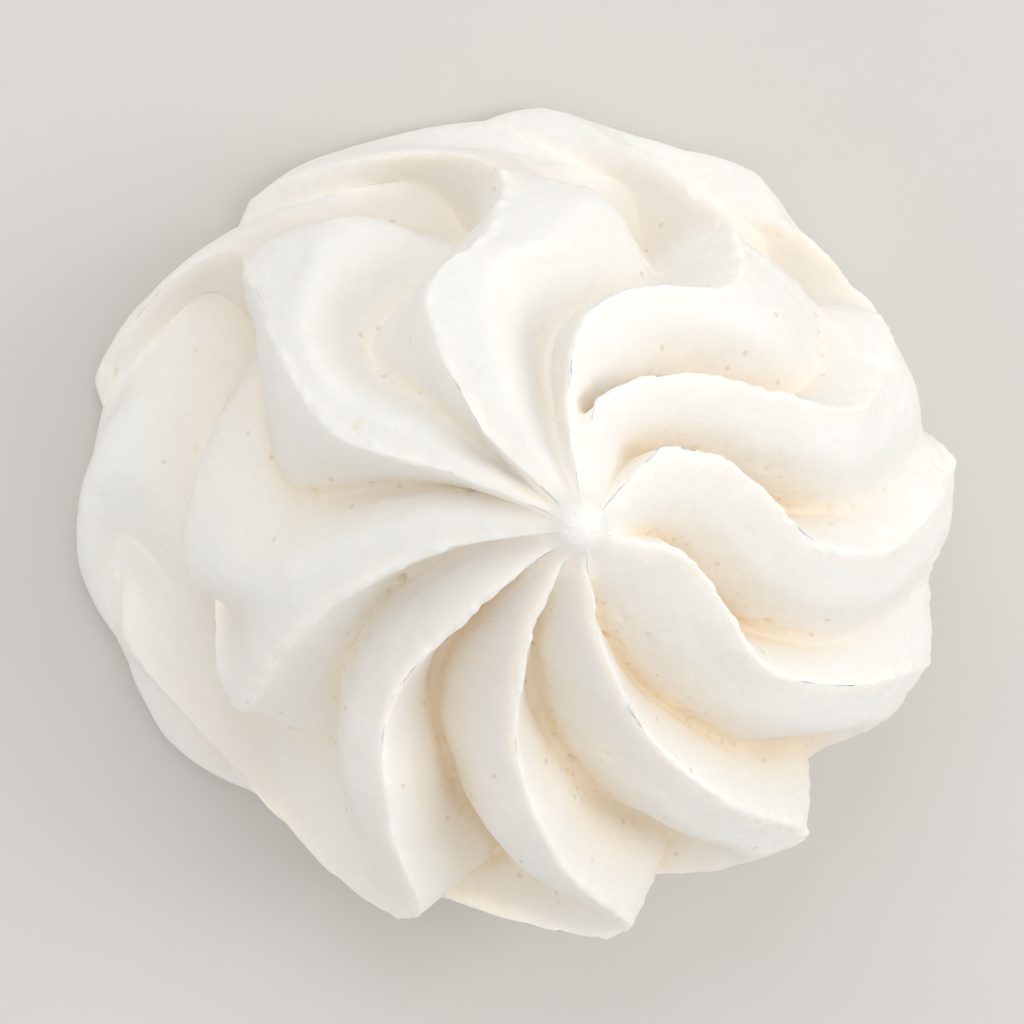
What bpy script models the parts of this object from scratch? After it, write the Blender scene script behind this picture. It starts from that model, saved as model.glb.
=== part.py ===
"""A piped meringue cookie, as one solid.

Ten ridges run from the tip over a domed upper tier. On the far side they run on into the
wide lower tier and hook round its scoops. On the near side the upper tier hangs over the
lower one as a skirt of pointed tongues. The base is flat.

Units are metres, +Z is up, and the origin is the middle of the footprint on the ground.
Bearings are in degrees, counter-clockwise from +X.
"""

import math
from typing import NamedTuple

import bmesh
import bpy
import numpy as np

MM = 0.001

# Driving dimensions in millimetres
HEIGHT = 38.5
NUB_RADIUS = 1.3  # the rounded tip
NUB_DROP = 0.7
NECK_RADIUS = 2.8  # where the tip widens into the dome
NECK_DROP = 3.2
SLOPE_RADIUS = 7.2  # halfway down the upper slope
SLOPE_DROP = 7.2
ELBOW_RADIUS = 13.0  # where the dome turns down
ELBOW_HEIGHT = 26.2
FLANK_RADIUS = 16.7  # under the elbow of the shortest skirt
FLANK_HEIGHT = 21.6
SHORT_REACH = 19.5  # the shortest skirt's edge
HIGH_HANG = 15.2
UNDERCUT = 2.8  # how far the lower tier starts inside a hanging skirt
FOOT_HEIGHT = 1.6  # where the lower tier rounds down to the tray
FOOT_BULGE = 0.2
BASE_INSET = 0.5
CLOSED_GAP = 10  # crests less than this many degrees apart have no valley between them
OPEN_GAP = 24  # and at this many it has its full depth
PLEAT_AT = 0.82  # share of the way to the next ridge
PLEAT_WIDTH = 0.13

# Levels follow the surface from the tip to the edge of the base
TIP, NUB, NECK, SLOPE, BROW, FLANK, SKIRT, TUCK, CUSHION, BELLY, FOOT, EDGE = range(12)


class Ridge(NamedTuple):
    """One of the ten ridges that the nozzle's teeth leave. Lengths are in millimetres."""

    slope: float  # bearing of the crest on the upper slope
    brow: float  # bearing at the elbow, where the dome turns down
    flank: float  # bearing halfway down to the skirt
    skirt: float  # bearing at the skirt's edge
    cushion: float  # bearing on top of the lower tier
    foot: float  # bearing at the base
    elbow: float  # radius of the crest at the elbow
    reach: float  # radius of the crest at the skirt's edge
    hang: float  # height of the crest at the skirt's edge
    spread: float  # radius of the lower tier
    flow: float  # 1 where the crest runs on into the lower tier, 0 where the skirt breaks it
    fall: float  # share of the way to the next ridge that the steep side takes
    bite: float  # the same share on the lower tier
    deep: float  # depth of the valley after the ridge, at the skirt, as a share of the usual
    hollow: float  # 1 where the steep side is hollow, 0 where it bulges
    point: float  # 1 where the skirt ends in a pointed tongue, 0 in a round lobe
    pleat: float  # depth of a second, narrow fold of the skirt, just before the next ridge


RIDGES = (
    Ridge(37, -3, -9, 2, 12, 24, 14.5, 27.0, 10.5, 25.5, 0.6, 0.20, 0.20, 0.6, 0.0, 0.0, 0.0),
    Ridge(78, 34, 16, 22, 36, 50, 13.5, 24.5, 12.5, 24.4, 0.9, 0.14, 0.18, 0.8, 0.0, 0.0, 0.0),
    Ridge(90, 80, 50, 51, 61, 84, 12.4, 20.0, 14.8, 22.9, 1.0, 0.48, 0.18, 0.9, 0.5, 0.2, 0.0),
    Ridge(134, 120, 103, 95, 102, 132, 15.0, 19.5, 15.2, 23.2, 1.0, 0.56, 0.14, 1.0, 0.6, 0.0, 0.0),
    Ridge(158, 161, 151, 142, 142, 166, 13.5, 21.8, 13.5, 26.0, 1.0, 0.36, 0.14, 0.8, 0.3, 0.0, 2.8),
    Ridge(193, 201, 209, 216, 178, 192, 13.3, 22.2, 12.0, 26.8, 0.0, 0.24, 0.40, 1.1, 0.0, 0.2, 0.0),
    Ridge(224, 230, 244, 255, 204, 217, 15.0, 27.4, 10.0, 26.4, 0.0, 0.26, 0.42, 1.2, 0.0, 1.0, 0.0),
    Ridge(252, 262, 273, 283, 236, 250, 15.0, 28.6, 9.5, 24.8, 0.0, 0.24, 0.38, 1.0, 0.0, 1.0, 0.0),
    Ridge(285, 293, 302, 309, 276, 290, 15.0, 28.4, 9.5, 25.0, 0.0, 0.16, 0.32, 0.8, 0.0, 0.1, 0.0),
    Ridge(343, 324, 328, 336, 322, 336, 15.0, 28.0, 9.5, 25.2, 0.2, 0.12, 0.40, 0.5, 0.0, 0.0, 0.0),
)
BEARING_LEVELS = (SLOPE, BROW, FLANK, SKIRT, CUSHION, FOOT)

# How deep the valleys lie under the crests at each level, where crests run on and where not
DEPTH_RUNNING = (0, 0, 0.8, 2.9, 4.5, 5.0, 4.8, 5.0, 3.9, 2.3, 1.0, 0.8)
DEPTH_BROKEN = (0, 0, 0.8, 2.9, 4.5, 5.0, 4.6, 0.4, 2.0, 1.5, 0.8, 0.6)
# The way down into a valley at each level, in degrees under the horizontal
SINK = (90, 75, 55, 50, 46, 36, 10, 42, 66, 45, 10, 0)
# How far each level takes the valleys' shape of the lower tier
LOWER = (0, 0, 0, 0, 0, 0, 0.1, 0.9, 1, 1, 1, 1)

# Rings of faces from each level to the next, and steps across the two sides of a valley
RINGS = (2, 2, 4, 6, 6, 7, 4, 3, 3, 2, 1)
FALL_STEPS = 4
RISE_STEPS = 8


def mix(a, b, share):
    """The value that lies a share of the way from a to b."""
    return a + (b - a) * share


def smooth(x):
    """An even ease from 0 to 1."""
    x = min(max(x, 0), 1)
    return x * x * (3 - 2 * x)


def spline(knots, values, at):
    """A smooth curve through values at knots, held flat past both ends."""
    if at <= knots[0]:
        return values[0]
    if at >= knots[-1]:
        return values[-1]
    k = max(i for i, knot in enumerate(knots) if knot <= at)

    def slope(i):
        before, after = max(i - 1, 0), min(i + 1, len(knots) - 1)
        return (values[after] - values[before]) / (knots[after] - knots[before])

    span = knots[k + 1] - knots[k]
    x = (at - knots[k]) / span
    hold = (1 + 2 * x) * (1 - x) ** 2 * values[k] + x * x * (3 - 2 * x) * values[k + 1]
    lean = x * (1 - x) ** 2 * slope(k) - x * x * (1 - x) * slope(k + 1)
    return hold + span * lean


def crest_profile(elbow, reach, hang, spread, flow):
    """Radius and height of a crest at each level."""
    elbow_height = ELBOW_HEIGHT - 0.85 * (elbow - ELBOW_RADIUS)
    flank_radius = FLANK_RADIUS + 0.59 * (reach - SHORT_REACH)
    flank_height = FLANK_HEIGHT - 0.29 * (HIGH_HANG - hang)
    tuck_radius = mix(reach - UNDERCUT, mix(reach, spread, 0.2), flow)
    tuck_height = hang - mix(2.8, 3.2, flow)
    cushion_radius = mix(tuck_radius, spread, mix(0.55, 0.3, flow))
    belly_radius = spread - mix(0.3, 0.9, flow)
    return (
        (0, HEIGHT),
        (NUB_RADIUS, HEIGHT - NUB_DROP),
        (NECK_RADIUS, HEIGHT - NECK_DROP),
        (SLOPE_RADIUS, HEIGHT - SLOPE_DROP),
        (elbow, elbow_height),
        (flank_radius, flank_height),
        (reach, hang),
        (tuck_radius, tuck_height),
        (cushion_radius, 0.82 * tuck_height),
        (belly_radius, 0.52 * tuck_height),
        (spread + FOOT_BULGE, FOOT_HEIGHT),
        (spread - BASE_INSET, 0),
    )


def fall_at(ridge, level):
    """The share of a ridge's steep side at a level."""
    widening = mix(0.4, 1.3, smooth((level - SLOPE) / (FLANK - SLOPE)))
    return mix(ridge.fall * widening, ridge.bite, smooth((level - FLANK) / (SKIRT - FLANK)))


def rise_of(f, fall, lower, hollow, pointed, pillow):
    """How high the cut across a valley stands, a share f of the way between two crests."""
    if f < fall:
        x = f / fall
        return mix(1 - x ** mix(1.4, 2.2, pillow), (1 - x) ** 1.25, hollow * (1 - lower))
    g = (f - fall) / (1 - fall)
    lobe = mix(0.86 * smooth(g / 0.6) + 0.14 * g, g, pointed)
    lobe = mix(lobe, 1 - (1 - g) ** 2, 0.8 * pillow)
    scoop = smooth((g - 0.3) / 0.7)
    return mix(lobe, scoop, lower)


def pleat_depth(level, ridge, f):
    """How far a second fold of the skirt goes in after a ridge."""
    across = smooth(1 - abs(f - PLEAT_AT) / PLEAT_WIDTH)
    return ridge.pleat * across * smooth(1 - abs(level - SKIRT))


def valley_depth(level, a, b, flow, f):
    """How far the surface lies under the crests' profile between the ridges a and b."""
    lower = spline(range(len(LOWER)), LOWER, level)
    pillow = 1 - smooth((level - SLOPE) / (SKIRT - SLOPE))
    pointed = b.point * smooth((level - FLANK) / (SKIRT - FLANK))
    broken = spline(range(len(DEPTH_BROKEN)), DEPTH_BROKEN, level)
    running = spline(range(len(DEPTH_RUNNING)), DEPTH_RUNNING, level)
    at_skirt = smooth((level - BROW) / (SKIRT - BROW)) * (1 - smooth(level - SKIRT))
    full = mix(broken, running, flow) * mix(1, a.deep, at_skirt)
    return full * (1 - rise_of(f, fall_at(a, level), lower, a.hollow, pointed, pillow))


def point(level, ridge, f):
    """A point of the surface, a share f of the way from one ridge to the next."""
    a, b = RIDGES[ridge], RIDGES[(ridge + 1) % len(RIDGES)]
    elbow, reach, hang, spread, flow = (
        mix(getattr(a, name), getattr(b, name), smooth(f))
        for name in ("elbow", "reach", "hang", "spread", "flow")
    )
    profile = crest_profile(elbow, reach, hang, spread, flow)
    radius, height = (spline(range(len(profile)), axis, level) for axis in zip(*profile))
    start, end = (spline(BEARING_LEVELS, r[: len(BEARING_LEVELS)], level) for r in (a, b))
    if ridge == len(RIDGES) - 1:
        end += 360
    opening = smooth((end - start - CLOSED_GAP) / (OPEN_GAP - CLOSED_GAP))
    depth = valley_depth(level, a, b, flow, f) * opening + pleat_depth(level, a, f)
    sink = math.radians(spline(range(len(SINK)), SINK, level))
    radius -= depth * math.cos(sink)
    height = max(height - depth * math.sin(sink), 0)
    bearing = math.radians(mix(start, end, f))
    return radius * math.cos(bearing), radius * math.sin(bearing), height


def shares(fall):
    """The steps from one crest to the next, with one on the crest and one in the crease."""
    steps = [fall * k / FALL_STEPS for k in range(FALL_STEPS)]
    return steps + [mix(fall, 1, k / RISE_STEPS) for k in range(RISE_STEPS)]


def meringue_mesh():
    """The closed mesh of the whole piece."""
    bm = bmesh.new()
    levels = [start + (i + 1) / n for start, n in enumerate(RINGS) for i in range(n)]
    rings = [
        [
            bm.verts.new([MM * v for v in point(level, index, f)])
            for index, ridge in enumerate(RIDGES)
            for f in shares(fall_at(ridge, level))
        ]
        for level in levels
    ]
    tip = bm.verts.new((0, 0, MM * HEIGHT))
    middle = bm.verts.new((0, 0, 0))
    around = len(rings[0])
    for i in range(around):
        j = (i + 1) % around
        bm.faces.new((tip, rings[0][i], rings[0][j]))
        for upper, lower in zip(rings, rings[1:]):
            bm.faces.new((upper[i], lower[i], lower[j], upper[j]))
        bm.faces.new((middle, rings[-1][j], rings[-1][i]))
    bmesh.ops.recalc_face_normals(bm, faces=bm.faces)
    mesh = bpy.data.meshes.new("meringue")
    bm.to_mesh(mesh)
    bm.free()
    return mesh


def centre(mesh):
    """Moves the mesh so that its box stands on the origin."""
    points = np.array([v.co for v in mesh.vertices])
    middle = (points.min(axis=0) + points.max(axis=0)) / 2
    for v in mesh.vertices:
        v.co.x -= middle[0]
        v.co.y -= middle[1]


def sugar():
    """The matt warm white of baked egg white and sugar."""
    material = bpy.data.materials.new("meringue")
    material.use_nodes = True
    shader = material.node_tree.nodes["Principled BSDF"]
    shader.inputs["Base Color"].default_value = (0.86, 0.83, 0.77, 1)
    shader.inputs["Roughness"].default_value = 0.8
    shader.inputs["Metallic"].default_value = 0
    return material


def main():
    """Clears the scene and builds the meringue."""
    for ob in list(bpy.data.objects):
        bpy.data.objects.remove(ob)
    mesh = meringue_mesh()
    centre(mesh)
    mesh.materials.append(sugar())
    mesh.shade_smooth()
    bpy.context.scene.collection.objects.link(bpy.data.objects.new("meringue", mesh))


main()
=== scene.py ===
"""The looks of a piped meringue cookie: its fine surface, its sugar finish and a plain studio.

The form repeats the solid's named shape in a much finer mesh, and adds what baking and piping
leave on it: lumps, streaks along the ridges, beads on the crests, crumbs at the rims and pores.
Sizes in millimetres say so by their names or comments. Everything else is in metres.
"""

import itertools
import logging
import math
from dataclasses import dataclass, field
from enum import Enum, IntEnum
from typing import Any, Sequence

import bpy
import numpy as np
from mathutils import Matrix, Vector
from mathutils.kdtree import KDTree


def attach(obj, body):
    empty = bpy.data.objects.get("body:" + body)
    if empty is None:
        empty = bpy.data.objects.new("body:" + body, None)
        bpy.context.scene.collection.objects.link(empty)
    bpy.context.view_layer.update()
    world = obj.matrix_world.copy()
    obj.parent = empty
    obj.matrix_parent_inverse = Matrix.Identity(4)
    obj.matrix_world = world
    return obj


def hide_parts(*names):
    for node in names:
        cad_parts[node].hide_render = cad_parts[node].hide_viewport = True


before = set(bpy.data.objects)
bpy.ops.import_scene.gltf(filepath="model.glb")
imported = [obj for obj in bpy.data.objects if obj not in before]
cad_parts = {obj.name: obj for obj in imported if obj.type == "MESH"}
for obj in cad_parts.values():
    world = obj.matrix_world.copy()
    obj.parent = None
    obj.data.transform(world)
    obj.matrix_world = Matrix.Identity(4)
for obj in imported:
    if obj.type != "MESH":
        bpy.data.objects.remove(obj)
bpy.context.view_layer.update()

logging.basicConfig(level=logging.INFO, format="%(message)s")
LOG = logging.getLogger("meringue")
MM = 0.001
Colour = tuple[float, float, float]

# The numbers of a Mix node's sockets for colours, whose names it also gives to other sockets.
MIX_SHARE, MIX_FIRST, MIX_SECOND, MIX_COLOUR = 0, 6, 7, 2


def ridges_axis() -> Vector:
    """The solid's peak, which stands on the ridges' axis.

    Returns:
        The place in metres.
    """
    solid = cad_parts["meringue"]
    places = (solid.matrix_world @ vertex.co for vertex in solid.data.vertices)
    return max(places, key=lambda place: place.z)


def mix(a: Any, b: Any, share: Any) -> Any:
    """The value that lies a share of the way from a to b."""
    return a + (b - a) * share


def smooth(x: Any) -> Any:
    """An even ease from 0 to 1, for a number or an array."""
    x = np.clip(x, 0, 1)
    return x * x * (3 - 2 * x)


def bell(distance: Any, width: float) -> Any:
    """A soft bump of height 1 at no distance, which fades over a width."""
    return np.exp(-((distance / width) ** 2))


def spline(knots: Sequence[float], values: Sequence[Any], at: float) -> Any:
    """A smooth curve through values at knots, held flat past both ends.

    Args:
        knots: Places along the curve, in rising order.
        values: The value at each knot, a number or an array.
        at: Where the curve is read.

    Returns:
        The value there, of the same kind as the values.
    """
    if at <= knots[0]:
        return values[0]
    if at >= knots[-1]:
        return values[-1]
    k = max(i for i, knot in enumerate(knots) if knot <= at)

    def slope(i: int) -> Any:
        """The curve's slope at a knot."""
        before, after = max(i - 1, 0), min(i + 1, len(knots) - 1)
        return (values[after] - values[before]) / (knots[after] - knots[before])

    span = knots[k + 1] - knots[k]
    x = (at - knots[k]) / span
    hold = (1 + 2 * x) * (1 - x) ** 2 * values[k] + x * x * (3 - 2 * x) * values[k + 1]
    lean = x * (1 - x) ** 2 * slope(k) - x * x * (1 - x) * slope(k + 1)
    return hold + span * lean


class Level(IntEnum):
    """The surface's named levels, from the tip to the edge of the base."""

    TIP = 0
    NUB = 1
    NECK = 2
    SLOPE = 3
    BROW = 4
    FLANK = 5
    SKIRT = 6
    TUCK = 7
    CUSHION = 8
    BELLY = 9
    FOOT = 10
    EDGE = 11


class Mark(Enum):
    """The mesh attributes that tell the finish where it is on the surface."""

    FLOOR = "floor"
    CREASE = "crease"
    CREST = "crest"
    PIT = "pit"
    # under the skirt's edge, where the finish paints shade
    SKIRT_SHADE = "shelter"


@dataclass(frozen=True)
class Grain:
    """Smooth random values in space, the same on every run."""

    seed: int

    def lattice(self, cell: np.ndarray) -> np.ndarray:
        """A fixed random value for each point of the lattice.

        Args:
            cell: Points with whole-number coordinates.

        Returns:
            A value between -1 and 1 for each point.
        """
        mixed = cell @ np.array([374761393, 668265263, 1440662683]) + self.seed * 974634777
        mixed = (mixed ^ (mixed >> 13)) * 1274126177
        mixed = (mixed ^ (mixed >> 16)) * 2654435761
        return ((mixed >> 11) & 0xFFFF) / 32767.5 - 1

    def at(self, points: np.ndarray) -> np.ndarray:
        """Smooth values in space, with about one bump for each unit.

        Args:
            points: Where they are read.

        Returns:
            A value between -1 and 1 for each point.
        """
        cell = np.floor(points).astype(np.int64)
        ease = smooth(points - cell)
        total = np.zeros(points.shape[:-1])
        for corner in itertools.product((0, 1), repeat=3):
            share = np.prod(np.where(corner, ease, 1 - ease), axis=-1)
            total += share * self.lattice(cell + np.array(corner))
        return total

    def layered(self, points: np.ndarray, layers: int) -> np.ndarray:
        """Values at points, with each further layer half as large and half as strong."""
        return sum(self.at(points * 2**k + 17.3 * k) / 2**k for k in range(layers))


@dataclass(frozen=True)
class Ridge:
    """One of the ten ridges that the nozzle's teeth leave. Lengths are in millimetres."""

    bearings: tuple[float, ...]  # of the crest, at slope, brow, flank, skirt, cushion and foot
    elbow: float  # radius of the crest where the dome turns down
    reach: float  # radius of the crest at the skirt's edge
    hang: float  # height of the crest at the skirt's edge
    spread: float  # radius of the lower tier
    flow: float  # 1 where the crest runs on into the lower tier, 0 where the skirt breaks it
    fall: float  # share of the way to the next ridge that the steep side takes
    bite: float  # the same share on the lower tier
    deep: float  # depth of the valley after the ridge, at the skirt, as a share of the usual
    hollow: float = 0.0  # 1 where the steep side is hollow, 0 where it bulges
    point: float = 0.0  # 1 where the skirt ends in a pointed tongue, 0 in a round lobe
    pleat: float = 0.0  # depth of a second fold of the skirt, just before the next ridge
    toast: float = 1.0  # how tan the crease after the ridge is: partly toasting, partly painted shade
    scoop: float = 0.0  # how hollow the valley's rising side is on the upper slope


@dataclass(frozen=True)
class Row:
    """One closed line of the surface at one level, and what lies where along it."""

    points: np.ndarray
    depth: np.ndarray
    opening: np.ndarray
    flow: np.ndarray
    # how tan the finish is painted: partly toasting, partly painted shade
    toast: np.ndarray


@dataclass(frozen=True)
class PipedForm:
    """The piped shape: crests on a stepped profile, with a valley cut between each two."""

    height: float = 38.5
    nub_radius: float = 1.3
    nub_drop: float = 0.7
    neck_radius: float = 2.8
    neck_drop: float = 3.2
    slope_radius: float = 7.2
    slope_drop: float = 7.2
    elbow_radius: float = 13.0
    elbow_height: float = 26.2
    flank_radius: float = 16.7
    flank_height: float = 21.6
    short_reach: float = 19.5
    high_hang: float = 15.2
    elbow_fall: float = 0.85  # how much lower an elbow is for each millimetre further out
    flank_share: float = 0.59  # of the reach's difference that the flank takes
    flank_fall: float = 0.29  # of the hang's difference that the flank takes
    undercut: float = 2.8
    broken_tuck: float = 2.8  # how far the tuck lies under the skirt's edge, where it hangs
    running_tuck: float = 3.2  # the same, where the crest runs on
    foot_height: float = 1.6
    foot_bulge: float = 0.2
    base_inset: float = 0.5
    closed_gap: float = 11.5  # degrees
    open_gap: float = 18.0  # degrees
    pleat_at: float = 0.82
    pleat_width: float = 0.13
    fall_columns: int = 18
    rise_columns: int = 38
    bearing_levels: tuple[Level, ...] = (
        Level.SLOPE,
        Level.BROW,
        Level.FLANK,
        Level.SKIRT,
        Level.CUSHION,
        Level.FOOT,
    )
    ridges: tuple[Ridge, ...] = (
        Ridge(
            (37, -3, -9, 2, 12, 24),
            *(14.5, 27.0, 10.5, 25.5, 0.6, 0.18, 0.20, 0.28, 0.4, 0.0),
            toast=1.15,
            scoop=0.5,
        ),
        Ridge(
            (78, 34, 16, 22, 36, 50),
            *(13.5, 24.5, 12.5, 24.4, 0.9, 0.14, 0.30, 0.42, 0.4, 0.0),
            toast=1.0,
            scoop=0.5,
        ),
        Ridge(
            (90, 80, 50, 51, 61, 84),
            *(12.4, 20.0, 14.8, 22.9, 1.0, 0.28, 0.18, 0.9, 0.3, 0.2),
            toast=0.2,
        ),
        Ridge(
            (134, 120, 103, 95, 102, 132),
            *(15.0, 19.5, 15.2, 23.2, 1.0, 0.56, 0.14, 1.0, 0.6, 0.0),
            toast=0.2,
        ),
        Ridge(
            (158, 161, 151, 142, 142, 166),
            *(13.5, 21.8, 13.5, 26.0, 1.0, 0.36, 0.14, 0.8, 0.4, 0.0, 2.8),
            toast=0.5,
        ),
        Ridge(
            (193, 201, 209, 216, 178, 192),
            *(13.3, 22.2, 12.0, 26.8, 0.0, 0.22, 0.40, 0.95, 0.7, 0.2),
            toast=0.35,
            scoop=0.9,
        ),
        Ridge(
            (224, 230, 244, 255, 204, 217),
            *(15.0, 27.4, 10.0, 26.4, 0.0, 0.22, 0.42, 1.1, 0.8, 1.0),
            toast=1.15,
            scoop=1.0,
        ),
        Ridge(
            (252, 262, 273, 283, 236, 250),
            *(15.0, 28.6, 9.5, 24.8, 0.0, 0.20, 0.38, 0.95, 0.8, 1.0),
            toast=1.0,
            scoop=1.0,
        ),
        Ridge(
            (285, 293, 302, 309, 276, 290),
            *(15.0, 28.4, 9.5, 25.0, 0.0, 0.14, 0.32, 0.75, 0.6, 0.1),
            toast=0.9,
            scoop=0.9,
        ),
        Ridge(
            (343, 324, 328, 336, 322, 336),
            *(15.0, 28.0, 9.5, 25.2, 0.2, 0.12, 0.40, 0.28, 0.5, 0.0),
            toast=1.15,
            scoop=0.7,
        ),
    )
    depth_running: tuple[float, ...] = (0, 0, 0.8, 2.9, 4.5, 5.0, 4.8, 5.0, 3.9, 2.3, 1.0, 0.8)
    depth_broken: tuple[float, ...] = (0, 0, 0.8, 2.9, 4.5, 5.0, 4.6, 0.4, 2.0, 1.5, 0.8, 0.6)
    sink: tuple[float, ...] = (90, 75, 55, 50, 46, 36, 10, 42, 66, 45, 10, 0)  # degrees
    lower: tuple[float, ...] = (0, 0, 0, 0, 0, 0, 0.1, 0.9, 1, 1, 1, 1)

    @property
    def columns(self) -> int:
        """Points from one crest to the next."""
        return self.fall_columns + self.rise_columns

    def profile(self, elbow: Any, reach: Any, hang: Any, spread: Any, flow: Any) -> list[tuple]:
        """Radius and height of a crest at each level.

        Args:
            elbow: Radius at the elbow.
            reach: Radius at the skirt's edge.
            hang: Height at the skirt's edge.
            spread: Radius of the lower tier.
            flow: 1 where the crest runs on into the lower tier.

        Returns:
            A radius and a height for each level, in millimetres.
        """
        high = self.height
        zero = 0 * elbow
        tuck_radius = mix(reach - self.undercut, mix(reach, spread, 0.2), flow)
        tuck_height = hang - mix(self.broken_tuck, self.running_tuck, flow)
        return [
            (zero, zero + high),
            (zero + self.nub_radius, zero + high - self.nub_drop),
            (zero + self.neck_radius, zero + high - self.neck_drop),
            (zero + self.slope_radius, zero + high - self.slope_drop),
            (elbow, self.elbow_height - self.elbow_fall * (elbow - self.elbow_radius)),
            (
                self.flank_radius + self.flank_share * (reach - self.short_reach),
                self.flank_height - self.flank_fall * (self.high_hang - hang),
            ),
            (reach, hang),
            (tuck_radius, tuck_height),
            (mix(tuck_radius, spread, mix(0.55, 0.3, flow)), 0.82 * tuck_height),
            (spread - mix(0.3, 0.9, flow), 0.52 * tuck_height),
            (spread + self.foot_bulge, zero + self.foot_height),
            (spread - self.base_inset, zero),
        ]

    def rise_of(
        self, a: Ridge, f: np.ndarray, fall: float, level: float, pointed: float
    ) -> np.ndarray:
        """How high the cut across a valley stands.

        Args:
            a: The ridge before the valley.
            f: Shares of the way between two crests.
            fall: The share that the steep side takes.
            level: Where on the surface.
            pointed: How pointed the next tongue is.

        Returns:
            0 in the crease to 1 on the crests, for each share.
        """
        lower = spline(range(len(self.lower)), self.lower, level)
        pillow = 1 - smooth((level - Level.SLOPE) / (Level.SKIRT - Level.SLOPE))
        scooped = a.scoop * (1 - smooth((level - Level.BROW) / (Level.SKIRT - Level.BROW)))
        x = np.clip(f / fall, 0, 1)
        down = mix(1 - x ** mix(1.4, 2.2, pillow), (1 - x) ** 1.25, a.hollow * (1 - lower))
        g = np.clip((f - fall) / (1 - fall), 0, 1)
        lobe = mix(0.86 * smooth(g / 0.6) + 0.14 * g, g, pointed)
        lobe = mix(lobe, 1 - (1 - g) ** 2, 0.25 * pillow)
        lobe = mix(lobe, g**1.2, scooped)
        up = mix(lobe, smooth((g - 0.3) / 0.7), lower)
        return np.where(f < fall, down, up)

    def fall_at(self, ridge: Ridge, level: float) -> float:
        """How wide a ridge's steep side is.

        Args:
            ridge: The ridge.
            level: Where on the surface.

        Returns:
            The share of the way to the next crest.
        """
        widening = mix(0.4, 1.3, smooth((level - Level.SLOPE) / (Level.FLANK - Level.SLOPE)))
        share = smooth((level - Level.FLANK) / (Level.SKIRT - Level.FLANK))
        return float(mix(ridge.fall * widening, ridge.bite, share))

    def shares(self, fall: float) -> np.ndarray:
        """Steps from one crest to the next, closest at the crests and in the crease.

        Args:
            fall: The share that the steep side takes.

        Returns:
            The share of the way that each column stands at.
        """
        down = (1 - np.cos(np.pi * np.arange(self.fall_columns) / self.fall_columns)) / 2
        even = np.arange(self.rise_columns) / self.rise_columns
        up = mix(even, (1 - np.cos(np.pi * even)) / 2, 0.6)
        return np.concatenate([fall * down, mix(fall, 1, up)])

    def valley(self, level: float, a: Ridge, b: Ridge, f: np.ndarray, fall: float) -> np.ndarray:
        """How far the surface lies under the crests' profile.

        Args:
            level: Where on the surface.
            a: The ridge before the valley.
            b: The ridge after it.
            f: Shares of the way from a to b.
            fall: The share that the steep side takes.

        Returns:
            Depths in millimetres.
        """
        flow = mix(a.flow, b.flow, smooth(f))
        pointed = b.point * smooth((level - Level.FLANK) / (Level.SKIRT - Level.FLANK))
        broken = spline(range(len(self.depth_broken)), self.depth_broken, level)
        running = spline(range(len(self.depth_running)), self.depth_running, level)
        at_skirt = smooth((level - Level.BROW) / 2) * (1 - smooth(level - Level.SKIRT))
        full = mix(broken, running, flow) * mix(1, a.deep, at_skirt)
        return full * (1 - self.rise_of(a, f, fall, level, pointed))

    def between(self, level: float, index: int) -> Row:
        """The surface at one level from one crest to just before the next.

        Args:
            level: Where on the surface.
            index: Which ridge the stretch starts at.

        Returns:
            The stretch, with its points in millimetres round the ridges' axis.
        """
        a, b = self.ridges[index], self.ridges[(index + 1) % len(self.ridges)]
        start, end = (spline(self.bearing_levels, r.bearings, level) for r in (a, b))
        if index == len(self.ridges) - 1:
            end += 360
        opening = smooth((end - start - self.closed_gap) / (self.open_gap - self.closed_gap))
        fall = mix(0.5, self.fall_at(a, level), opening)
        f = self.shares(fall)
        sizes = [
            mix(getattr(a, name), getattr(b, name), smooth(f))
            for name in ("elbow", "reach", "hang", "spread", "flow")
        ]
        radii, heights = zip(*self.profile(*sizes))
        radius = spline(range(len(radii)), radii, level)
        height = spline(range(len(heights)), heights, level)
        depth = self.valley(level, a, b, f, fall) * opening
        across = smooth(1 - np.abs(f - self.pleat_at) / self.pleat_width)
        depth = depth + a.pleat * across * smooth(1 - abs(level - Level.SKIRT))
        sink = math.radians(spline(range(len(self.sink)), self.sink, level))
        radius = radius - depth * math.cos(sink)
        height = np.maximum(height - depth * math.sin(sink), 0)
        bearing = np.radians(mix(start, end, f))
        points = np.stack([radius * np.cos(bearing), radius * np.sin(bearing), height], axis=-1)
        # How tan the finish paints the crease and floor: partly toasting, partly painted shade,
        # less under the skirt.
        shallow = mix(1, min(1.3 * a.deep, 1), smooth((level - Level.BROW) / 1.5))
        covered = mix(1, 0.5, smooth((level - Level.SKIRT) / 1.5))
        toast = mix(a.toast, b.toast, smooth((f - 0.7) / 0.3)) * shallow * covered
        return Row(points, depth, np.full_like(f, opening), sizes[4] + 0 * f, toast)

    def row(self, level: float) -> Row:
        """The whole closed line of the surface at one level.

        Args:
            level: Where on the surface.

        Returns:
            The stretches between all the ridges, joined.
        """
        parts = [self.between(level, index) for index in range(len(self.ridges))]
        names = ("points", "depth", "opening", "flow", "toast")
        return Row(*(np.concatenate([getattr(part, name) for part in parts]) for name in names))


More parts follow.
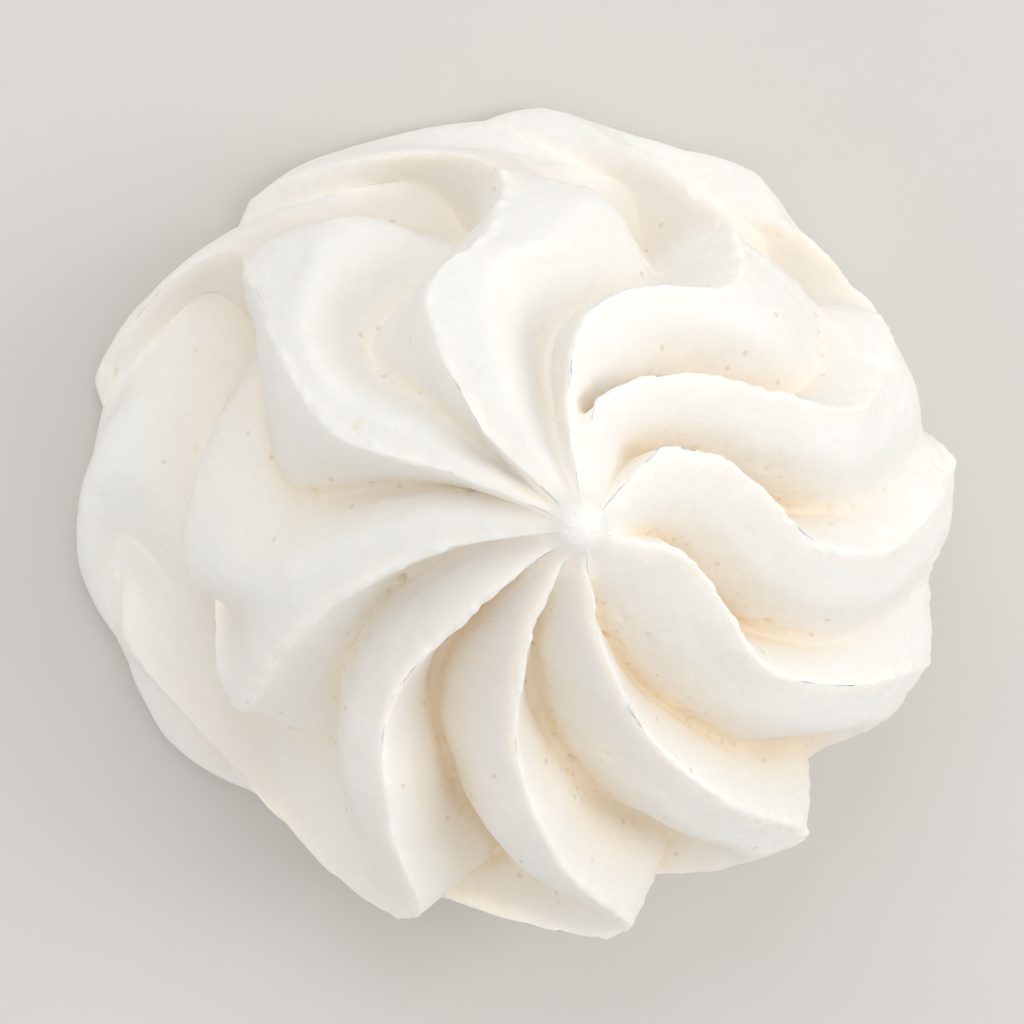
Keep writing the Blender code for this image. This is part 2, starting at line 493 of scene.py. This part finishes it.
@dataclass
class Surface:
    """A grid of the whole surface, with rows of levels and columns round the axis."""

    form: PipedForm
    levels: np.ndarray
    flow_radius: float = 19.0
    flow_level: float = 0.9
    points: np.ndarray = field(init=False)
    depth: np.ndarray = field(init=False)
    opening: np.ndarray = field(init=False)
    flow: np.ndarray = field(init=False)
    # how tan the finish is painted: partly toasting, partly painted shade
    toast: np.ndarray = field(init=False)

    def __post_init__(self) -> None:
        """Fills the grid from the form."""
        rows = [self.form.row(level) for level in self.levels]
        self.points = np.stack([row.points for row in rows])
        self.depth = np.stack([row.depth for row in rows])
        self.opening = np.stack([row.opening for row in rows])
        self.flow = np.stack([row.flow for row in rows])
        self.toast = np.stack([row.toast for row in rows])

    def level_grid(self) -> np.ndarray:
        """The level of each point."""
        return np.repeat(self.levels[:, None], self.points.shape[1], axis=1)

    def from_column(self, offset: int) -> np.ndarray:
        """The distance of each point from the nearest line that starts at a column of its ridge.

        Args:
            offset: 0 for the crests, or the fall's number of columns for the creases.

        Returns:
            Distances in millimetres, measured along the row.
        """
        columns = self.form.columns
        lines = self.points[:, offset::columns]
        own = np.repeat(lines, columns, axis=1)
        ahead = np.repeat(np.roll(lines, -1, axis=1), columns, axis=1)
        behind = np.repeat(np.roll(lines, 1, axis=1), columns, axis=1)
        each = [np.linalg.norm(self.points - line, axis=-1) for line in (own, ahead, behind)]
        return np.minimum.reduce(each)

    def normals(self) -> np.ndarray:
        """The outward direction at each point.

        Returns:
            Directions of length 1.
        """
        around = np.roll(self.points, -1, axis=1) - np.roll(self.points, 1, axis=1)
        down = np.gradient(self.points, axis=0)
        normal = np.cross(down, around)
        length = np.linalg.norm(normal, axis=-1, keepdims=True)
        return normal / np.maximum(length, 1e-9)

    def soften(self, passes: int, strength: np.ndarray) -> None:
        """Rounds the surface by moving points towards their neighbours' middle.

        Args:
            passes: How many times.
            strength: How far each point goes, 0 to 1.
        """
        for _ in range(passes):
            middle = (np.roll(self.points, 1, axis=1) + np.roll(self.points, -1, axis=1)) / 2
            rows = self.points.copy()
            rows[1:-1] = (self.points[:-2] + self.points[2:]) / 2
            self.points = mix(self.points, (middle + rows) / 2, strength[..., None])

    def flow_coordinates(self) -> np.ndarray:
        """Coordinates that change fast across the ridges and slowly along them.

        Returns:
            Three coordinates for each point.
        """
        count = self.points.shape[1]
        turn = 2 * np.pi * np.arange(count) / count
        ring = self.flow_radius * np.stack([np.cos(turn), np.sin(turn)], axis=-1)
        along = self.flow_level * self.level_grid()
        both = np.broadcast_to(ring, (*along.shape, 2))
        return np.concatenate([both, along[..., None]], axis=-1)


@dataclass(frozen=True)
class Relief:
    """What piping and baking leave on the surface. Heights and widths are in millimetres."""

    lump_height: float = 0.20
    lump_width: float = 6.0
    ripple_height: float = 0.05
    ripple_width: float = 1.6
    streak_height: float = 0.045
    bead_height: float = 0.12
    bead_width: float = 0.45
    crumb_height: float = 0.27
    crumb_width: float = 0.7
    patch_centre: tuple[float, float, float] = (-4.5, 13.8, 24.0)
    patch_width: float = 2.4
    patch_grain: float = 0.7
    patch_height: float = 0.12
    slot_depth: float = 0.2
    pits: int = 260
    pit_radius: tuple[float, float] = (0.15, 0.40)
    pit_reach: float = 1.3  # how far a pit's soft edge goes, as a share of its radius
    pit_depth: float = 0.75  # as a share of the largest radius
    seed: int = 5

    def at_rim(self, levels: np.ndarray) -> np.ndarray:
        """1 on the skirt's edge, fading out over and under it."""
        return bell(levels - Level.SKIRT, 0.55)

    def height(self, surface: Surface, crest: np.ndarray, crease: np.ndarray) -> np.ndarray:
        """How far each point moves outwards.

        Args:
            surface: The smooth surface.
            crest: 1 on the crests.
            crease: 1 in the creases.

        Returns:
            Heights in millimetres.
        """
        points, levels = surface.points, surface.level_grid()
        rim = self.at_rim(levels)
        lump = Grain(self.seed).layered(points / self.lump_width, 3)
        ripple = Grain(self.seed + 1).layered(points / self.ripple_width, 2)
        streak = Grain(self.seed + 2).layered(surface.flow_coordinates(), 2)
        crumb = Grain(self.seed + 3).layered(points / self.crumb_width, 2)
        from_patch = np.linalg.norm(points - np.array(self.patch_centre), axis=-1)
        patch = bell(from_patch, self.patch_width)
        rough = Grain(self.seed + 4).layered(points / self.patch_grain, 2)
        bead = self.bead_height * crest * (0.75 + 0.5 * ripple)
        total = self.lump_height * lump + self.ripple_height * ripple
        total += self.streak_height * streak * smooth(surface.depth / 2)
        total += bead + self.crumb_height * crumb * (0.5 * crest + 0.4 * rim)
        total += self.patch_height * rough * patch - self.slot_depth * crease**2
        quiet = smooth((levels - 0.5) / 1.5) * (1 - smooth((levels - Level.FOOT + 0.4) / 0.8))
        return total * quiet

    def pitted(self, surface: Surface, normals: np.ndarray, weight: np.ndarray) -> np.ndarray:
        """Presses small round pits into the surface.

        Args:
            surface: The surface, whose points move.
            normals: The outward direction at each point.
            weight: How likely a pit is at each point.

        Returns:
            How deep in a pit each point lies, 0 to 1.
        """
        chance = np.random.default_rng(self.seed)
        flat = surface.points.reshape(-1, 3)
        tree = KDTree(len(flat))
        for index, point in enumerate(flat):
            tree.insert(point, index)
        tree.balance()
        share = weight.ravel() / weight.sum()
        centres = chance.choice(len(flat), size=self.pits, replace=False, p=share)
        low, high = self.pit_radius
        radii = low + (high - low) * chance.random(self.pits) ** 2.2
        deep = np.zeros(len(flat))
        for centre, radius in zip(centres, radii):
            for _, index, distance in tree.find_range(flat[centre], radius * self.pit_reach):
                cup = float(smooth(1 - distance / (radius * self.pit_reach)))
                deep[index] = max(deep[index], cup * radius / high)
        deep = deep.reshape(surface.depth.shape)
        surface.points -= normals * (self.pit_depth * high * deep)[..., None]
        return deep


class Value:
    """One output of a node. Arithmetic on it adds Math nodes."""

    def __init__(self, board: "Board", socket: bpy.types.NodeSocket) -> None:
        """Wraps a socket of a board."""
        self.board = board
        self.socket = socket

    def _maths(self, operation: str, *terms: Any) -> "Value":
        """The output of a Math node on some terms."""
        return self.board.make("ShaderNodeMath", {"operation": operation}, dict(enumerate(terms)))

    def __add__(self, other: Any) -> "Value":
        """self + other"""
        return self._maths("ADD", self, other)

    def __sub__(self, other: Any) -> "Value":
        """self - other"""
        return self._maths("SUBTRACT", self, other)

    def __mul__(self, other: Any) -> "Value":
        """self * other"""
        return self._maths("MULTIPLY", self, other)

    def __rsub__(self, other: Any) -> "Value":
        """other - self"""
        return self._maths("SUBTRACT", other, self)

    def __gt__(self, other: Any) -> "Value":
        """1 where self is more than other, and 0 elsewhere"""
        return self._maths("GREATER_THAN", self, other)

    def __lt__(self, other: Any) -> "Value":
        """1 where self is less than other, and 0 elsewhere"""
        return self._maths("LESS_THAN", self, other)

    __radd__ = __add__
    __rmul__ = __mul__

    def beside(self, output: str) -> "Value":
        """Another output of the same node."""
        return Value(self.board, self.socket.node.outputs[output])

    def clamped(self) -> "Value":
        """The value, kept between 0 and 1."""
        settings = {"operation": "ADD", "use_clamp": True}
        return self.board.make("ShaderNodeMath", settings, {0: self, 1: 0.0})

    def eased(self, low: float, high: float) -> "Value":
        """A smooth step from 0 at low to 1 at high."""
        settings = {"interpolation_type": "SMOOTHSTEP"}
        return self.board.make("ShaderNodeMapRange", settings, {0: self, 1: low, 2: high})


class Board:
    """The nodes of one material."""

    def __init__(self, name: str) -> None:
        """Starts a material with a Principled shader.

        Args:
            name: The material's name.
        """
        self.material = bpy.data.materials.new(name)
        self.material.use_nodes = True
        self.nodes = self.material.node_tree.nodes
        self.shader = self.nodes["Principled BSDF"]

    def put(self, target: bpy.types.NodeSocket, source: Any) -> None:
        """Links an output into a socket, or sets the socket's own value.

        Args:
            target: The socket that takes it.
            source: A Value, or a number, colour or vector.
        """
        if isinstance(source, Value):
            self.material.node_tree.links.new(source.socket, target)
        else:
            target.default_value = source

    def make(self, kind: str, settings: dict, sockets: dict, output: Any = 0) -> Value:
        """Adds a node.

        Args:
            kind: The node's type.
            settings: Its own settings, set first.
            sockets: A value or a link for each of its inputs, by name or number.
            output: Which output is wanted.

        Returns:
            That output.
        """
        node = self.nodes.new(kind)
        for name, value in settings.items():
            setattr(node, name, value)
        for name, source in sockets.items():
            self.put(node.inputs[name], source)
        return Value(self, node.outputs[output])

    def mark(self, mark: Mark) -> Value:
        """One of the mesh's attributes."""
        return self.make("ShaderNodeAttribute", {"attribute_name": mark.value}, {}, "Fac")

    def place(self) -> Value:
        """The place on the object, in metres."""
        return self.make("ShaderNodeTexCoord", {}, {}, "Object")

    def noise(self, place: Value, width: float, detail: float = 2.0) -> Value:
        """Soft noise from 0 to 1.

        Args:
            place: Where it is read.
            width: The width of its largest spots, in the units of the place.
            detail: How many finer layers it has.

        Returns:
            The noise.
        """
        sockets = {"Vector": place, "Scale": 1 / width, "Detail": detail, "Roughness": 0.55}
        return self.make("ShaderNodeTexNoise", {}, sockets)

    def blend(self, a: Any, b: Colour, share: Any) -> Value:
        """A colour between two.

        Args:
            a: The colour, or the output with it, at share 0.
            b: The colour at share 1.
            share: How far it is from a to b.

        Returns:
            The colour.
        """
        start = a if isinstance(a, Value) else (*a, 1)
        sockets = {MIX_SHARE: share, MIX_FIRST: start, MIX_SECOND: (*b, 1)}
        return self.make("ShaderNodeMix", {"data_type": "RGBA"}, sockets, MIX_COLOUR)

    def pores(self, place: Value, cell: float, share: Any, size: tuple[float, float]) -> Value:
        """Small round pores in some of the cells of a random pattern.

        Args:
            place: Where it is read.
            cell: The distance between cells, in metres.
            share: The share of the cells that have a pore.
            size: Where a pore starts to fade and where it ends, as shares of the cell.

        Returns:
            1 inside the pores and 0 between them.
        """
        sockets = {"Vector": place, "Scale": 1 / cell, "Randomness": 1.0}
        distance = self.make("ShaderNodeTexVoronoi", {}, sockets, "Distance")
        colour = distance.beside("Color")
        chance = self.make("ShaderNodeSeparateColor", {}, {"Color": colour})
        return (share > chance) * (1.0 - distance.eased(*size))


@dataclass(frozen=True)
class SugarFinish:
    """Baked egg white and sugar: matt, softly lit from inside, tan in the creases from toasting
    and from painted shade.
    """

    fresh: Colour = (0.93, 0.92, 0.89)
    # cream: the meringue's own uneven tone, and painted warm shade on the valley floors
    cream: Colour = (0.92, 0.87, 0.78)
    # tan: toasting, and painted shade in the creases, floors, pits and under the skirt
    toast: Colour = (0.78, 0.60, 0.36)
    # browned sugar in the pores, and painted shade inside them
    burnt_and_pore_shade: Colour = (0.62, 0.43, 0.24)
    roughness: float = 0.72
    shine: float = 0.25
    glow: float = 0.5
    glow_reach: float = 0.0018
    glow_colours: Colour = (1.0, 0.72, 0.45)
    drift_width: float = 0.009
    mottle_width: float = 0.0016
    foam_width: float = 0.0006
    grain_width: float = 0.0002
    pore_cell: float = 0.0011
    pore_size: tuple[float, float] = (0.06, 0.26)  # shares of the cell
    mottle_height: float = 0.14  # millimetres
    foam_height: float = 0.09  # millimetres
    grain_height: float = 0.02  # millimetres

    def colour(self, board: Board, mottle: Value) -> Value:
        """The colour: whitest on the crests, a painted highlight; cream on the floors and tan in
        the creases and pits, partly the meringue's own tone and toasting, partly painted shade;
        painted shade under the skirt's edge.

        Args:
            board: The material's nodes.
            mottle: Soft uneven spots, 0 to 1.

        Returns:
            The colour at each place.
        """
        floor, crease = board.mark(Mark.FLOOR), board.mark(Mark.CREASE)
        crest, pit = board.mark(Mark.CREST), board.mark(Mark.PIT)
        shelter, place = board.mark(Mark.SKIRT_SHADE), board.place()
        drift = board.noise(place, self.drift_width)
        # Pores are dark dots with no relief: browned sugar and painted shade inside the holes.
        porous = 0.012 + 0.9 * crease + 0.12 * floor
        pores = board.pores(place, self.pore_cell, porous, self.pore_size)
        # Cream on the valley floors is painted warm shade; the mottle's part is the meringue's
        # own uneven tone.
        creamy = (0.08 + 1.1 * floor * (0.45 + drift) + 0.35 * (mottle - 0.5)).clamped()
        # Tan on the floors, creases and pits: partly toasting, partly painted shade; under the
        # skirt's edge it is painted shade.
        tan_and_shade = 0.20 * floor * (0.3 + drift) + crease * (0.12 + 0.5 * drift)
        tan_and_shade = (tan_and_shade + 0.25 * shelter + 0.5 * pit).clamped()
        # Less cream on the crests: a painted highlight along them.
        colour = board.blend(self.fresh, self.cream, creamy * (1.0 - 0.6 * crest))
        colour = board.blend(colour, self.toast, 0.8 * tan_and_shade)
        return board.blend(colour, self.burnt_and_pore_shade, 0.38 * pores)

    def material(self) -> bpy.types.Material:
        """Builds the material.

        Returns:
            The finished material.
        """
        board = Board("baked_sugar")
        place = board.place()
        mottle = board.noise(place, self.mottle_width, 1.0)
        foam = board.noise(place, self.foam_width, 1.0)
        grain = board.noise(place, self.grain_width, 1.0)
        height = self.mottle_height * mottle + self.foam_height * foam + self.grain_height * grain
        bump = {"Strength": 1.0, "Distance": MM, "Height": height}
        sockets = board.shader.inputs
        board.put(sockets["Base Color"], self.colour(board, mottle))
        board.put(sockets["Roughness"], (self.roughness + 0.2 * grain).clamped())
        board.put(sockets["Normal"], board.make("ShaderNodeBump", {}, bump))
        board.put(sockets["Specular IOR Level"], self.shine)
        board.shader.subsurface_method = "BURLEY"
        board.put(sockets["Subsurface Weight"], self.glow)
        board.put(sockets["Subsurface Scale"], self.glow_reach)
        board.put(sockets["Subsurface Radius"], self.glow_colours)
        return board.material


@dataclass(frozen=True)
class PaperFinish:
    """The plain pale floor: matt, with a faint fleck."""

    light: Colour = (0.72, 0.70, 0.67)
    dark: Colour = (0.68, 0.66, 0.63)
    fleck_width: float = 0.02
    roughness: float = 0.8

    def material(self) -> bpy.types.Material:
        """Builds the material.

        Returns:
            The finished material.
        """
        board = Board("pale_floor")
        fleck = board.noise(board.place(), self.fleck_width, 4.0)
        board.put(board.shader.inputs["Base Color"], board.blend(self.dark, self.light, fleck))
        board.put(board.shader.inputs["Roughness"], (self.roughness + 0.1 * fleck).clamped())
        return board.material


@dataclass
class Meringue:
    """The cookie itself, as one closed mesh."""

    form: PipedForm = field(default_factory=PipedForm)
    relief: Relief = field(default_factory=Relief)
    finish: SugarFinish = field(default_factory=SugarFinish)
    rows: tuple[int, ...] = (6, 10, 18, 34, 30, 36, 18, 12, 14, 12, 6)
    sparse_radii: tuple[float, ...] = (6.5, 3.2, 1.6)  # half as many columns inside each
    base_rings: tuple[float, ...] = (0.97, 0.6)

    def levels(self) -> np.ndarray:
        """The level of each row, from just under the tip to the edge of the base."""
        return np.array([k + (i + 1) / n for k, n in enumerate(self.rows) for i in range(n)])

    def marks(self, surface: Surface) -> dict[Mark, np.ndarray]:
        """Where the crests, creases and floors lie.

        Args:
            surface: The smooth surface.

        Returns:
            A grid of values from 0 to 1 for each mark.
        """
        levels = surface.level_grid()
        upper = 1 - smooth((levels - Level.SKIRT) / 0.5)
        runs = mix(surface.flow * 0.7, 1.0, upper)
        depth = smooth(surface.depth / 4.5)
        outward = smooth((levels - Level.NECK) / 1.2)
        to_crest = surface.from_column(0)
        to_crease = surface.from_column(self.form.fall_columns)
        open_valley = surface.opening * runs * outward
        crest = bell(to_crest, self.relief.bead_width) * open_valley
        # The crease and floor marks carry the tan of toasting and of painted shade in the
        # valleys.
        crease = bell(to_crease, 1.0) * depth * open_valley * surface.toast
        # Under the skirt's edge, where the finish paints shade.
        shelter = smooth((levels - Level.SKIRT - 0.15) / 0.7)
        shelter = shelter * (1 - smooth((levels - Level.TUCK) / 1.3))
        return {
            Mark.CREST: crest,
            Mark.CREASE: crease,
            Mark.FLOOR: depth * outward * surface.toast,
            Mark.SKIRT_SHADE: shelter,
        }

    def shaped(self) -> tuple[Surface, dict[Mark, np.ndarray]]:
        """The surface with all its relief, and its marks.

        Returns:
            The surface in millimetres round the ridges' axis, and the marks' grids.
        """
        surface = Surface(self.form, self.levels())
        marks = self.marks(surface)
        levels = surface.level_grid()
        gentle = mix(0.7, 0.25, marks[Mark.CREST]) * (1 - smooth((levels - Level.FOOT) / 0.6))
        surface.soften(3, gentle)
        closed = (1 - surface.opening) * smooth((levels - Level.NECK) / 0.5)
        surface.soften(40, 0.9 * closed * (1 - smooth((levels - Level.BROW) / 0.5)))
        normals = surface.normals()
        height = self.relief.height(surface, marks[Mark.CREST], marks[Mark.CREASE])
        surface.points += normals * height[..., None]
        spread = np.linalg.norm(surface.points[..., :2], axis=-1)
        likely = spread * (0.05 + 2.5 * marks[Mark.CREASE] + 0.15 * marks[Mark.FLOOR])
        likely *= smooth((levels - Level.NECK) / 1.0) * (1 - smooth((levels - Level.BELLY) / 1.0))
        marks[Mark.PIT] = self.relief.pitted(surface, normals, likely)
        surface.points[..., 2] = np.maximum(surface.points[..., 2], 0)
        return surface, marks

    def steps(self, surface: Surface) -> list[int]:
        """How many columns each row goes on by, more near the tip where the rows are short.

        Args:
            surface: The finished surface.

        Returns:
            1, 2, 4 or 8 for each row.
        """
        radii = np.linalg.norm(surface.points[..., :2], axis=-1).mean(axis=1)
        return [2 ** sum(bool(radius < limit) for limit in self.sparse_radii) for radius in radii]

    def faces(self, ids: np.ndarray, steps: list[int]) -> list[tuple[int, ...]]:
        """The faces between the rows.

        Args:
            ids: The number of each grid point, or -1 where it is left out.
            steps: How many columns each row goes on by.

        Returns:
            The corners of each face, with its front outside.
        """
        made = []
        count = ids.shape[1]
        for k in range(len(ids) - 1):
            step, next_step = steps[k], steps[k + 1]
            for i in range(0, count, step):
                j = (i + step) % count
                top, top_next = ids[k, i], ids[k, j]
                low, low_next = ids[k + 1, i], ids[k + 1, j]
                if next_step == step:
                    made.append((top, low, low_next, top_next))
                    continue
                low_middle = ids[k + 1, i + step // 2]
                made += [(top, low, low_middle), (top, low_middle, top_next)]
                made.append((top_next, low_middle, low_next))
        return made

    def numbered(self, surface: Surface, steps: list[int]) -> np.ndarray:
        """Numbers the points of the grid that the mesh keeps.

        Args:
            surface: The finished surface.
            steps: How many columns each row goes on by.

        Returns:
            The number of each grid point, or -1 where it is left out.
        """
        kept = np.zeros(surface.depth.shape, dtype=bool)
        for k, step in enumerate(steps):
            kept[k, ::step] = True
        ids = np.full(kept.shape, -1)
        ids[kept] = np.arange(kept.sum())
        return ids

    def ends(self, edge: np.ndarray, ids: np.ndarray) -> tuple[np.ndarray, list[tuple]]:
        """Closes the flat base and the tip.

        Args:
            edge: The points of the last row, round the base.
            ids: The number of each grid point.

        Returns:
            The points that this adds, and the faces to them.
        """
        tip = ids.max() + 1
        added = [np.array([[0, 0, self.form.height]])]
        faces = []
        last = ids[-1]
        for share in self.base_rings:
            ring = edge * np.array([share, share, 0])
            numbers = tip + sum(map(len, added)) + np.arange(len(ring))
            faces += zip(last, numbers, np.roll(numbers, -1), np.roll(last, -1))
            added.append(ring)
            last = numbers
        middle = tip + sum(map(len, added))
        added.append(np.zeros((1, 3)))
        faces += [(middle, b, a) for a, b in zip(last, np.roll(last, -1))]
        first = ids[0][ids[0] >= 0]
        faces += [(tip, a, b) for a, b in zip(first, np.roll(first, -1))]
        return np.concatenate(added), faces

    def dress(
        self, mesh: bpy.types.Mesh, marks: dict[Mark, np.ndarray], kept: np.ndarray
    ) -> None:
        """Writes the marks on the mesh and gives it its finish.

        Args:
            mesh: The finished mesh, with the grid's points first.
            marks: A grid of values for each mark.
            kept: Which grid points the mesh has.
        """
        spare = len(mesh.vertices) - int(kept.sum())
        for mark, grid in marks.items():
            layer = mesh.attributes.new(mark.value, "FLOAT", "POINT")
            layer.data.foreach_set("value", np.concatenate([grid[kept], np.zeros(spare)]))
        mesh.shade_smooth()
        mesh.materials.append(self.finish.material())

    def mesh(self, axis: Vector) -> bpy.types.Mesh:
        """The closed mesh, dressed.

        Args:
            axis: Where the ridges' axis stands, in metres.

        Returns:
            The mesh in metres.
        """
        surface, marks = self.shaped()
        steps = self.steps(surface)
        ids = self.numbered(surface, steps)
        added, end_faces = self.ends(surface.points[-1], ids)
        points = np.concatenate([surface.points[ids >= 0], added]) * MM
        points[:, 0] += axis.x
        points[:, 1] += axis.y
        faces = self.faces(ids, steps) + end_faces
        mesh = bpy.data.meshes.new("meringue_surface")
        mesh.from_pydata(points.tolist(), [], [tuple(map(int, face)) for face in faces])
        self.dress(mesh, marks, ids >= 0)
        return mesh

    def build(self) -> bpy.types.Object:
        """Makes the piece and puts it in the solid's place.

        Returns:
            The piece.
        """
        piece = bpy.data.objects.new("meringue_surface", self.mesh(ridges_axis()))
        bpy.context.scene.collection.objects.link(piece)
        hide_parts("meringue")
        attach(piece, "root")
        return piece


@dataclass(frozen=True)
class Lamp:
    """A large soft lamp that looks at the cookie."""

    name: str
    towards: tuple[float, float, float]
    distance: float
    size: float
    watts: float
    colour: Colour

    def build(self, target: Vector) -> None:
        """Hangs the lamp on its side of a target.

        Args:
            target: The place that it looks at, in metres.
        """
        data = bpy.data.lights.new(self.name, "AREA")
        data.shape = "DISK"
        data.size = self.size
        data.energy = self.watts
        data.color = self.colour
        lamp = bpy.data.objects.new(self.name, data)
        away = Vector(self.towards).normalized()
        lamp.location = target + away * self.distance
        lamp.rotation_euler = away.to_track_quat("Z", "Y").to_euler()
        bpy.context.scene.collection.objects.link(lamp)


@dataclass
class Studio:
    """The floor, the lamps, the surrounding light and the camera."""

    floor_size: float = 3.0
    frame_width: float = 0.0641
    lens: float = 400.0
    sensor: float = 36.0
    view_from: tuple[float, float, float] = (-0.135, 0.09, 1.0)
    aim: tuple[float, float] = (0.0009, -0.0024)  # from the ridges' axis, at the ground
    sky: Colour = (1.0, 1.0, 1.0)
    sky_strength: float = 0.77
    lamp_target: tuple[float, float, float] = (0, 0, 0.015)
    lamps: tuple[Lamp, ...] = (
        Lamp("key", (0.85, 0.12, 0.8), 0.7, 0.4, 1.12, (1.0, 0.985, 0.965)),
        Lamp("fill", (-0.2, 0.8, 0.8), 0.8, 0.6, 1.1, (0.97, 0.985, 1.0)),
    )

    def floor(self) -> None:
        """Lays the plain pale floor."""
        half = self.floor_size / 2
        mesh = bpy.data.meshes.new("floor")
        corners = [(-half, -half, 0), (half, -half, 0), (half, half, 0), (-half, half, 0)]
        mesh.from_pydata(corners, [], [(0, 1, 2, 3)])
        mesh.materials.append(PaperFinish().material())
        floor = bpy.data.objects.new("floor", mesh)
        bpy.context.scene.collection.objects.link(floor)

    def world(self) -> None:
        """Surrounds the scene with even light."""
        world = bpy.data.worlds.new("studio")
        world.use_nodes = True
        background = world.node_tree.nodes["Background"]
        background.inputs["Color"].default_value = (*self.sky, 1)
        background.inputs["Strength"].default_value = self.sky_strength
        bpy.context.scene.world = world
        bpy.context.scene.view_settings.view_transform = "Standard"

    def camera(self, axis: Vector) -> None:
        """Sets the camera over the cookie, with +Y up in the picture.

        Args:
            axis: Where the ridges' axis stands, in metres.
        """
        data = bpy.data.cameras.new("camera")
        data.lens = self.lens
        data.sensor_width = self.sensor
        away = Vector(self.view_from).normalized()
        right = Vector((0, 1, 0)).cross(away).normalized()
        turn = Matrix((right, away.cross(right), away)).transposed().to_4x4()
        distance = self.frame_width * self.lens / self.sensor
        target = Vector((axis.x + self.aim[0], axis.y + self.aim[1], 0))
        camera = bpy.data.objects.new("camera", data)
        camera.matrix_world = Matrix.Translation(target + away * distance) @ turn
        data.clip_end = 10 * distance
        bpy.context.scene.collection.objects.link(camera)
        bpy.context.scene.camera = camera

    def build(self) -> None:
        """Sets up the whole studio."""
        self.floor()
        self.world()
        self.camera(ridges_axis())
        for lamp in self.lamps:
            lamp.build(Vector(self.lamp_target))


def main() -> None:
    """Builds the cookie and the studio."""
    piece = Meringue().build()
    LOG.info("meringue surface: %d faces", len(piece.data.polygons))
    Studio().build()
    LOG.info("studio: floor, lamps, sky and camera")


if __name__ == "__main__":
    main()
